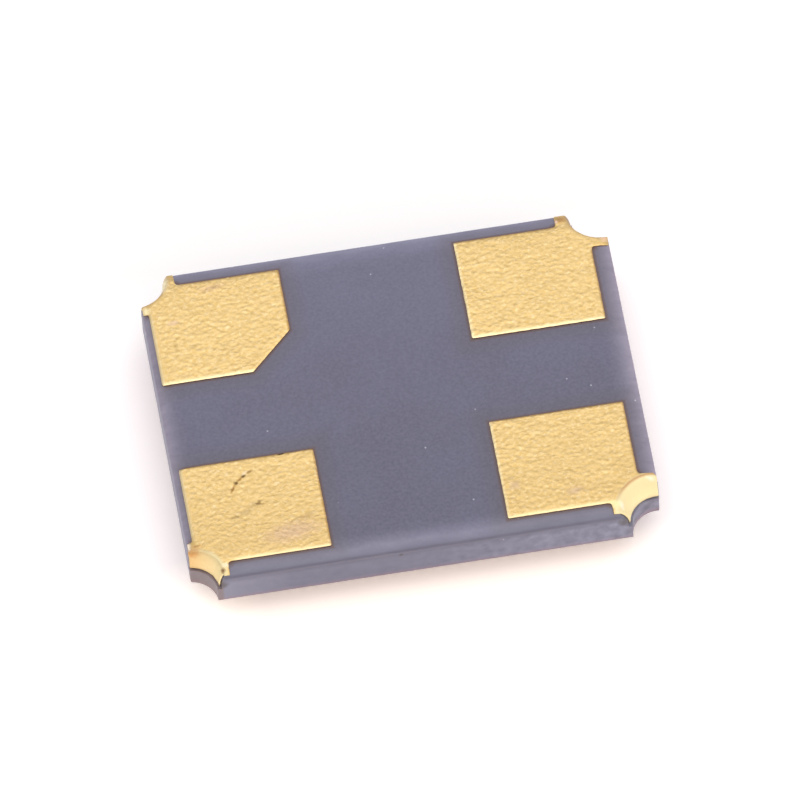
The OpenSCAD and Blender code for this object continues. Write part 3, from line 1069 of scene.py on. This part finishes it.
tree, shader, in_mm = new_finish("gold_plate_over_print", [*lands.values()], Metallic=1)
drawn_out = add(tree, "Mapping", in_mm, inputs={"Scale": (1 / fine_stretch, 1, 1)})
ripple = add(tree, "TexNoise", drawn_out, 1 / fine_ripple_mm, 2, inputs={"Distortion": 0.7})
patches = add(tree, "TexNoise", in_mm, 1 / smooth_patch_mm)
parts = add(tree, "SeparateXYZ", in_mm).outputs
at_right = add(tree, "Math GREATER_THAN", parts["X"], 0)
at_front = add(tree, "Math LESS_THAN", parts["Y"], 0)
at_output = add(tree, "Math MULTIPLY", at_right, at_front)
flare = add(tree, "Math MULTIPLY_ADD", at_output, wide_flare_w - flare_w, flare_w)
from_notch = from_notches(tree, in_mm)
from_lip = add(tree, "Math SUBTRACT", from_notch, notch_r)
from_lip = add(tree, "Math SUBTRACT", from_lip, flare)
lining = fade(tree, from_lip, 0, lip_w)
printed = add(tree, "Math SUBTRACT", 1, lining)
rippled = add(tree, "MapRange", patches, 0.4, 0.6, 0.1, 1.1)
strength = add(tree, "Math MULTIPLY", rippled, printed)
bumps = add(tree, "Bump", inputs={"Strength": strength, "Height": ripple, "Distance": fine_rise})
rough = add(tree, "MapRange", patches, 0, 1, 0.26, 0.42)
rough = add(tree, "Math MULTIPLY_ADD", lining, 0.25, rough)
wire(tree, shader, Normal=bumps, Roughness=rough)

# %% [markdown]
# The linings look up at the light in front and away from it at the back, so their colours are
# set by corner: pale at the output land, where the mouth is wide and flat, and dusky below the
# lip at the back.

# %% Gold plate: crests and linings
outer_end_x = (-1.58, -1.42)
brown_line, brown_line_y = (0.003, 0.017), (-1.16, -1.04)
below_lip_w = (-0.2 * flare_w, -0.8 * flare_w)
# Colour by ripple height: paler crests are partly wear and partly painted highlight, darker troughs
# are painted shade.
crest_wear_and_light = add(tree, "MapRange", ripple, 0.3, 0.7)
plate = blended(tree, [crest_wear_and_light], 1, "#d9b977", "#eacd94")
off_end = add(tree, "MapRange", parts["X"], *outer_end_x)
lining_hue = blended(tree, [off_end], 1, "#e0c897", "#f6eec2")
lining_hue = blended(tree, [at_output], 1, lining_hue, "#fffacc")
at_back = add(tree, "Math SUBTRACT", 1, at_front)
lining_hue = blended(tree, [at_back], 1, lining_hue, "#dcc189")
below_lip = add(tree, "MapRange", from_lip, *below_lip_w)
lining_hue = blended(tree, [below_lip, at_back], 0.75, lining_hue, "#7d6a6e")
plate = blended(tree, [lining], 0.85, plate, lining_hue)
off_lip = add(tree, "Math ABSOLUTE", from_lip)
at_lip = fade(tree, off_lip, *brown_line)
behind_ear = add(tree, "MapRange", parts["Y"], *brown_line_y)
plate = blended(tree, [at_lip, at_output, behind_ear], 0.65, plate, "#c27a2e")
print("gold plate has", len(tree.nodes), "nodes")

# %% [markdown]
# Each land's near and left edges round over towards the light and get a wide, pale painted
# highlight; its far and right edges turn away from it and get a thin, brown painted shade. The
# rims stop short of the notch. The highest crests get painted glints, and the front lands are a
# little darker, as the light comes from the back.

# %% Gold plate: painted rim light and shade, and glints
near_x, near_y = land_gap_x / 2, land_gap_y / 2
far_x, far_y = near_x + land_l, near_y + land_w
rim_full, rim_end = notch_r + 0.16, notch_r + 0.1
glint_range, front_y = (0.6, 0.74), (-0.2, -1.2)
RIM_HIGHLIGHT_AND_SHADE = [
    # axis, the two edges that face one way, full and faded widths, amount, colour
    ("X", (print_shift + near_x, print_shift - far_x), (0.008, 0.028), 0.6, "#fff0c4"),
    ("Y", (near_y, -far_y), (0.012, 0.036), 0.72, "#fff0c0"),
    ("X", (print_shift + far_x, print_shift - near_x), (0.003, 0.020), 0.6, "#8f5423"),
    ("Y", (far_y, -near_y), (0.003, 0.020), 0.7, "#8f5423"),
]
off_notch = fade(tree, from_notch, rim_full, rim_end)
# Painted highlight on the near and left edges, painted shade on the far and right ones.
for axis, edges, widths, amount, colour in RIM_HIGHLIGHT_AND_SHADE:
    for edge in edges:
        off = add(tree, "Math SUBTRACT", parts[axis], edge)
        off = add(tree, "Math ABSOLUTE", off)
        plate = blended(tree, [fade(tree, off, *widths), off_notch], amount, plate, colour)
# Painted glints on the highest crests.
plate = blended(tree, [add(tree, "MapRange", ripple, *glint_range)], 0.25, plate, "#fff1cc")
plate = blended(tree, [add(tree, "MapRange", parts["Y"], *front_y)], 0.2, plate, "#b99a63")
print("gold plate has", len(tree.nodes), "nodes")

# %% [markdown]
# Each land has been touched: a scratch through to the nickel, and smudges from fingers. They
# are marks put one by one, a few hundredths of a millimetre long. Four brown marks on the ears
# and the left lining are painted dark reflections of lumps in the plating. The pale marks by the
# ears and in the notches are painted glints, and they take the metal out of the shader as well,
# so that they stay bright. So does the dull lining at the output land, by half.

# %% Gold plate: marks, painted dark reflections and glints
top_z = land_high.z
rolled_z = top_z - 0.01
lining_z = top_z - 0.035
skin, through = 0.04, 0.3
MARKS_AND_REFLECTIONS = [
    # place, half-lengths in X, Y and, where it isn't skin, Z, turn, amount, colour
    ((-1.222, -0.575, top_z), (0.055, 0.014), 60, 0.75, "#8f5f22"),
    ((-1.195, -0.530, top_z), (0.022, 0.019), 0, 0.85, "#523818"),
    ((-1.165, -0.505, top_z), (0.040, 0.013), 37, 0.70, "#8f5f22"),
    ((-1.139, -0.484, top_z), (0.024, 0.018), 30, 0.85, "#523818"),
    ((-1.092, -0.455, top_z), (0.034, 0.013), 33, 0.65, "#7a5629"),
    ((-1.130, -0.462, top_z), (0.030, 0.014), 35, 0.60, "#f1dfc0"),
    ((-1.070, -0.715, top_z), (0.036, 0.018), 55, 0.55, "#6f5330"),
    ((-1.068, -0.722, top_z), (0.044, 0.012), -10, 0.50, "#6f5330"),
    ((-1.150, -0.760, top_z), (0.100, 0.030), 25, 0.30, "#8d7a5c"),
    ((-1.244, -0.803, top_z), (0.060, 0.014), 8, 0.50, "#7a6036"),
    ((-0.880, -0.985, top_z), (0.240, 0.100), 8, 0.45, "#c9a99a"),
    ((-0.760, -0.880, top_z), (0.120, 0.030), 12, 0.35, "#a5855c"),
    ((-0.860, -0.350, top_z), (0.035, 0.012), 8, 0.90, "#3c2814"),
    ((-1.110, 1.075, top_z), (0.120, 0.035), 8, 0.40, "#c4a288"),
    ((-1.408, 0.835, top_z), (0.060, 0.025), 5, 0.50, "#d8bba8"),
    ((-1.419, 0.637, top_z), (0.020, 0.060), 0, 0.40, "#a88c54"),
    ((0.648, -0.890, top_z), (0.050, 0.050), 0, 0.35, "#b59c94"),
    ((1.038, -1.004, top_z), (0.080, 0.040), 10, 0.35, "#b59c94"),
    # The last four are painted dark reflections of lumps in the plating, on the lining and the
    # ears.
    ((-1.545, -1.005, lining_z), (0.095, 0.055), 15, 0.65, "#c98c4a"),
    ((-1.534, -0.985, lining_z), (0.030, 0.016), 0, 0.80, "#7a4f2c"),
    ((-1.394, -1.205, rolled_z), (0.026, 0.024), 30, 0.85, "#86592c"),
    ((1.303, 1.199, rolled_z), (0.045, 0.040), 0, 0.50, "#b9783f"),
]
# Painted glints: pale and not metal, so that they stay bright.
GLINTS = [
    ((-1.592, -0.970, rolled_z), (0.026, 0.046), 0, 0.90, "#fff4e0"),
    ((-1.366, -1.170, rolled_z), (0.030, 0.026), 0, 0.85, "#fff2cc"),
    ((1.348, -1.190, rolled_z), (0.075, 0.030), -60, 0.95, "#fffdf4"),
    ((1.285, -1.160, rolled_z), (0.060, 0.045), 0, 0.70, "#fff6ba"),
    ((1.550, -0.985, lining_z), (0.044, 0.016), -20, 0.85, "#fffbe8"),
    ((1.274, 1.189, rolled_z), (0.017, 0.017), 0, 0.80, "#f8d6c4"),
    ((1.570, 0.995, rolled_z), (0.040, 0.030), 0, 0.60, "#f6cfb4"),
    ((-1.585, 0.975, rolled_z), (0.055, 0.040), -30, 0.85, "#fff2c4"),
    ((-1.430, 1.205, lining_z), (0.050, 0.130, through), 0, 0.95, "#fff4cc"),
]
metal = add(tree, "Math MULTIPLY", lining, at_output)
metal = add(tree, "Math MULTIPLY_ADD", metal, -0.5, 1)
for row in MARKS_AND_REFLECTIONS + GLINTS:
    place, reach, turn, amount, colour = row
    spot = mark(tree, in_mm, place, (*reach, skin)[:3], turn)
    plate = blended(tree, [spot], amount, plate, colour)
    if row in GLINTS:
        glint_unmetal = add(tree, "Math MULTIPLY_ADD", spot, -amount, 1)
        metal = add(tree, "Math MULTIPLY", metal, glint_unmetal)
wire(tree, shader, Base_Color=plate, Metallic=metal)
print(len(MARKS_AND_REFLECTIONS + GLINTS), "marks, gold plate has", len(tree.nodes), "nodes")

# %% [markdown]
# ## Rolled lid
#
# The lid's alloy of iron, nickel and cobalt is rolled to strip and plated with dull nickel. The
# rolls leave faint lines along the strip, and the weld leaves a grey, rougher band along the
# edge, a row of paler spots in it, and a straw tint from its heat beside it. Real roll lines
# are a few microns wide, so they are drawn 0.012 mm wide to show.

# %% Rolled lid: nickel, roll lines, weld
roll_line_mm, roll_line_stretch = 0.012, 30
nickel_cloud_mm = 0.4
seam_fade, straw_near, straw_far = 0.015, 0.02, 0.2
line_rise, spot_relief = 0.0006 * MM, 5

tree, shader, in_mm = new_finish("dull_nickel_on_rolled_strip", [lid], Metallic=1)
along = add(tree, "Mapping", in_mm, inputs={"Scale": (1 / roll_line_stretch, 1, 1)})
lines = add(tree, "TexNoise", along, 1 / roll_line_mm, 3)
cloudy = add(tree, "TexNoise", in_mm, 1 / nickel_cloud_mm, 2)
metal = blended(tree, [cloudy], 1, "#aeaaa1", "#c3bfb6")
metal = blended(tree, [add(tree, "MapRange", lines, 0.35, 0.7)], 0.3, metal, "#d8d4cb")
off = beyond(tree, in_mm, (0, 0, 0), (lid_high.x, lid_high.y, 0))
off = add(tree, "SeparateXYZ", off).outputs
past = add(tree, "Math MAXIMUM", off["X"], off["Y"])
seam = fade(tree, past, -weld_w, -weld_w - seam_fade)
straw = fade(tree, past, -weld_w - straw_near, -weld_w - straw_far, 2)
metal = blended(tree, [straw], 0.45, metal, "#b89d72")
metal = blended(tree, [seam], 0.6, metal, "#8b8782")
at_end = add(tree, "Math GREATER_THAN", off["X"], off["Y"])
parts = add(tree, "SeparateXYZ", in_mm).outputs
side = add(tree, "Mix", at_end, parts["X"], parts["Y"])
rows = add(tree, "Math PINGPONG", side, spot_pitch)
spots = add(tree, "MapRange", rows, 0, spot_pitch)
spots = add(tree, "Math MULTIPLY", spots, seam)
metal = blended(tree, [spots], 0.5, metal, "#cfc9be")
rough = add(tree, "MapRange", lines, 0.3, 0.7, 0.27, 0.38)
rough = add(tree, "Math MULTIPLY_ADD", seam, 0.14, rough)
relief = add(tree, "Math MULTIPLY_ADD", spots, spot_relief, lines)
wire(tree, shader, relief, line_rise, Base_Color=metal, Roughness=rough)

# %% [markdown]
# ## Stamped ring, and its braze
#
# The ring's side is a punched cut: the shear leaves short lines through its thickness, under the
# same dull nickel. The braze under it is silver and copper. It froze in small dendrites, which
# show as a mottle of pale silver and pinker copper. On such plain finishes one pattern rules
# everything, so one helper lets it set the colour, the roughness and the relief.

# %% Stamped ring: shear lines
shear_line_mm, shear_stretch = 0.011, 9


def follow(tree, shader, pattern, tones, colours, roughness, rise):
    """A pattern's range becomes colours, another becomes roughness, and all of it relief."""
    colour = blended(tree, [add(tree, "MapRange", pattern, *tones)], 1, *colours)
    rough = add(tree, "MapRange", pattern, *roughness)
    wire(tree, shader, pattern, rise, Base_Color=colour, Roughness=rough)


tree, shader, in_mm = new_finish("dull_nickel_on_stamped_alloy", [ring], Metallic=1)
along = add(tree, "Mapping", in_mm, inputs={"Scale": (1, 1, 1 / shear_stretch)})
lines = add(tree, "TexNoise", along, 1 / shear_line_mm, 2)
nickels = ("#95918a", "#b6b2a9")
follow(tree, shader, lines, (0.3, 0.7), nickels, (0.3, 0.7, 0.32, 0.46), line_rise)

# %% Silver-copper braze: mottle
dendrite_mm = 0.03

tree, shader, in_mm = new_finish("silver_copper_braze", [nodes["braze_frame"]], Metallic=1)
mottle = add(tree, "TexVoronoi", in_mm, 1 / dendrite_mm).outputs["Distance"]
silver_and_copper = ("#d0cdc6", "#c09a84")
follow(tree, shader, mottle, (0.25, 0.7, 0, 0.6), silver_and_copper, (0, 0.8, 0.3, 0.5), line_rise)

# %% [markdown]
# ## Inside: printed conductors and pressed studs
#
# The conductors are the same tungsten paste as the lands, so they have its ripples, but no dirt.
# The studs under the chip are balls of gold wire pressed flat, which are smooth and bright with
# fine wrinkles where they were squeezed.

# %% Printed conductors
print_ripple_mm = 0.03

printed = [nodes[name] for name in (*CONDUCTORS, "shelf_pad_a", "shelf_pad_b", "seal_plating")]
tree, shader, in_mm = new_finish("gold_plate_on_fired_tungsten", printed, Metallic=1)
ripple = add(tree, "TexNoise", in_mm, 1 / print_ripple_mm, 3)
golds = ("#c9a262", "#eed193")
follow(tree, shader, ripple, (0.3, 0.7), golds, (0.3, 0.7, 0.5, 0.36), 0.5 * fine_rise)

# %% Pressed studs
wrinkle_mm = 0.008

tree, shader, in_mm = new_finish("pressed_gold_wire", [nodes["chip_bumps"]], Metallic=1)
wrinkles = add(tree, "TexNoise", in_mm, 1 / wrinkle_mm, 1, inputs={"Distortion": 1.5})
golds = ("#eac884", "#fbe2a8")
follow(tree, shader, wrinkles, (0, 1), golds, (0.3, 0.7, 0.2, 0.32), 0.3 * line_rise)

# %% [markdown]
# ## Inside: ground silicon
#
# The chip's back was ground thin by a wheel much wider than the wafer, which leaves a fan of
# fine curved scratches. They are rings of a Wave pattern about a middle far off to one side,
# and are drawn about 0.02 mm apart, where real ones are ten times finer. Silicon is grey and
# shiny like a metal but darker, which its high index of refraction gives.

# %% Ground silicon: curved scratches
scratch_mm = 0.02
wheel_middle = (-6, -9, 0)

chip = nodes["oscillator_chip"]
tree, shader, in_mm = new_finish("ground_silicon", [chip], IOR=3.5, Metallic=0.35)
from_wheel = add(tree, "VectorMath SUBTRACT", in_mm, wheel_middle)
uneven = {"Distortion": 2, "Detail": 3, "Detail Scale": 2}
rings = {"inputs": uneven, "wave_type": "RINGS", "rings_direction": "Z"}
scratches = add(tree, "TexWave", from_wheel, 1 / scratch_mm, **rings).outputs["Fac"]
greys = ("#3d4048", "#585c66")
follow(tree, shader, scratches, (0, 1), greys, (0, 1, 0.26, 0.4), 0.3 * line_rise)

# %% [markdown]
# ## Inside: lapped quartz and its silver
#
# The crystal blank is lapped with fine grit, so it is clear but frosted: light goes through
# and scatters a little. The silver electrodes are evaporated on it, take on its lapped texture
# and yellow slightly as they tarnish.

# %% Lapped quartz
lap_mm = 0.01

clear = {"IOR": 1.544, "Transmission_Weight": 0.92, "Base_Color": linear("#eef4f6")}
tree, shader, in_mm = new_finish("lapped_quartz", [nodes["quartz_blank"]], **clear)
lapped = add(tree, "TexNoise", in_mm, 1 / lap_mm, 2)
rough = add(tree, "MapRange", lapped, 0.3, 0.7, 0.16, 0.3)
wire(tree, shader, lapped, 0.5 * line_rise, Roughness=rough)

# %% Evaporated silver
tarnish_mm = 0.4

films = [nodes["electrode_lid_side"], nodes["electrode_base_side"]]
tree, shader, in_mm = new_finish("evaporated_silver", films, Metallic=1)
lapped = add(tree, "TexNoise", in_mm, 1 / lap_mm, 2)
tarnish = add(tree, "TexNoise", in_mm, 1 / tarnish_mm, 4)
yellowed = add(tree, "MapRange", tarnish, 0.5, 0.75)
metal = blended(tree, [yellowed], 0.5, "#dfe0e2", "#d2c19a")
rough = add(tree, "MapRange", tarnish, 0.3, 0.7, 0.2, 0.34)
wire(tree, shader, lapped, 0.3 * line_rise, Base_Color=metal, Roughness=rough)

# %% [markdown]
# ## Inside: silver-filled silicone
#
# The two dots that hold the crystal are soft grey silicone full of silver flakes. Each flake is
# one cell of a Voronoi pattern, some bright and most dull.

# %% Silver-filled silicone: flakes
flake_mm = 0.009

dots = [nodes["adhesive_dot_a"], nodes["adhesive_dot_b"]]
tree, shader, in_mm = new_finish("silver_filled_silicone", dots, IOR=1.41)
flakes = add(tree, "TexVoronoi", in_mm, 1 / flake_mm).outputs
luck = add(tree, "SeparateColor", flakes["Color"]).outputs["Red"]
bright = add(tree, "MapRange", luck, 0.55, 1)
tone = blended(tree, [bright], 0.8, "#8d8e90", "#d9dadc")
metal = add(tree, "Math MULTIPLY", bright, 0.7)
rough = add(tree, "MapRange", bright, 0, 1, 0.62, 0.38)
links = {"Base_Color": tone, "Metallic": metal, "Roughness": rough}
wire(tree, shader, flakes["Distance"], line_rise, **links)

# %% [markdown]
# ## The floor
#
# The part lies on plain white paper under an even light. The paper is drawn a little brighter
# to the camera and in reflections than it is to bounced light, so that it turns white a short
# way from the part, as paper under a product light does, and keeps the shadow close in. The
# lift is strongest and warmest in front, most of all at the near left corner, and ends behind
# the part. Light Path tells the rays apart, and the part itself gets no more light.

# %% Floor
floor_size = 2
below_lid = 1e-6
floor_bounce, floor_seen = (0.92, 0.92, 0.92, 1), (0.99, 0.99, 0.995, 1)
front_lift, side_lift, back_lift = (0.66, 0.5, 0.38, 1), (0.19, 0.16, 0.17, 1), (0, 0, 0, 1)
corner_lift = (0.75, 0.62, 0.5, 1)
front_zone, back_zone = (-1.25 * half_w, -0.8 * half_w), (0.9 * half_w, 1.3 * half_w)
corner_zone = (0.1, 0.5)

laid = {"size": floor_size, "location": (0, 0, -below_lid)}
floor = primitive("floor", bpy.ops.mesh.primitive_plane_add, **laid)
tree, shader, in_mm = new_finish("matt_white_paper", [floor], Specular_IOR_Level=0)
rays = add(tree, "LightPath").outputs
seen = add(tree, "Math MAXIMUM", rays["Is Camera Ray"], rays["Is Glossy Ray"])
seen = add(tree, "Math MAXIMUM", seen, rays["Is Transmission Ray"])
paper = blended(tree, [seen], 1, floor_bounce, floor_seen)
across = add(tree, "SeparateXYZ", in_mm).outputs["Y"]
lift = blended(tree, [add(tree, "MapRange", across, *front_zone)], 1, front_lift, side_lift)
lift = blended(tree, [add(tree, "MapRange", across, *back_zone)], 1, lift, back_lift)
from_corner = add(tree, "VectorMath DISTANCE", in_mm, (-half_l, -half_w, 0))
lift = blended(tree, [fade(tree, from_corner, *corner_zone)], 0.6, lift, corner_lift)
wire(tree, shader, Base_Color=paper, Emission_Color=lift, Emission_Strength=seen)

# %% [markdown]
# ## The light
#
# The light is a white tent: a bright soft panel overhead and dimmer walls all round, warmer
# at the front and stronger on the right. Such a light is easiest as a World, a colour worked out
# from the direction a ray goes in. The panel's edge is what makes the gold glitter, because
# each ripple's near slope sees the panel and its far slope sees the wall.

# %% World
wall_front, wall_back = (1.0, 0.85, 0.72, 1), (0.62, 0.62, 0.66, 1)
panel = (1.62, 1.6, 1.6, 1)
panel_edge = (0.55, 1.0)
left_level, right_level = 0.75, 1.25

world = bpy.data.worlds.new("white_tent")
bpy.context.scene.world = world
world.use_nodes = True
tree = world.node_tree
soft = {"interpolation_type": "SMOOTHSTEP"}
towards_sky = add(tree, "SeparateXYZ", add(tree, "TexCoord").outputs["Generated"]).outputs
depth = add(tree, "MapRange", towards_sky["Y"], -1, 1, 0, 1, **soft)
walls = blended(tree, [depth], 1, wall_front, wall_back)
side = add(tree, "MapRange", towards_sky["X"], -1, 1, left_level, right_level)
walls = add(tree, "VectorMath SCALE", walls, side)
overhead = add(tree, "MapRange", towards_sky["Z"], *panel_edge, 0, 1, **soft)
light = blended(tree, [overhead], 1, walls, panel)
wire(tree, tree.nodes["Background"], Color=light)
bpy.context.scene.view_settings.view_transform = "Standard"
print(world.name, "has", len(tree.nodes), "nodes")

# %% [markdown]
# ## Put the new pieces in place
#
# Each new piece stands in for the imported node it is listed with, which is hidden, and all
# ride on the one body, since nothing on the part moves. The table also names a material slot
# for each piece, which this script doesn't use.

MADE = {
    "ceramic_base": (ceramic, "dark_ceramic"),
    "seal_ring": (ring, "ring_metal"),
    "lid": (lid, "lid_metal"),
    **{name: (land, "gold_plating") for name, land in lands.items()},
}
for node, (piece, slot) in MADE.items():
    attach(piece, "root")
    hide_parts(node)
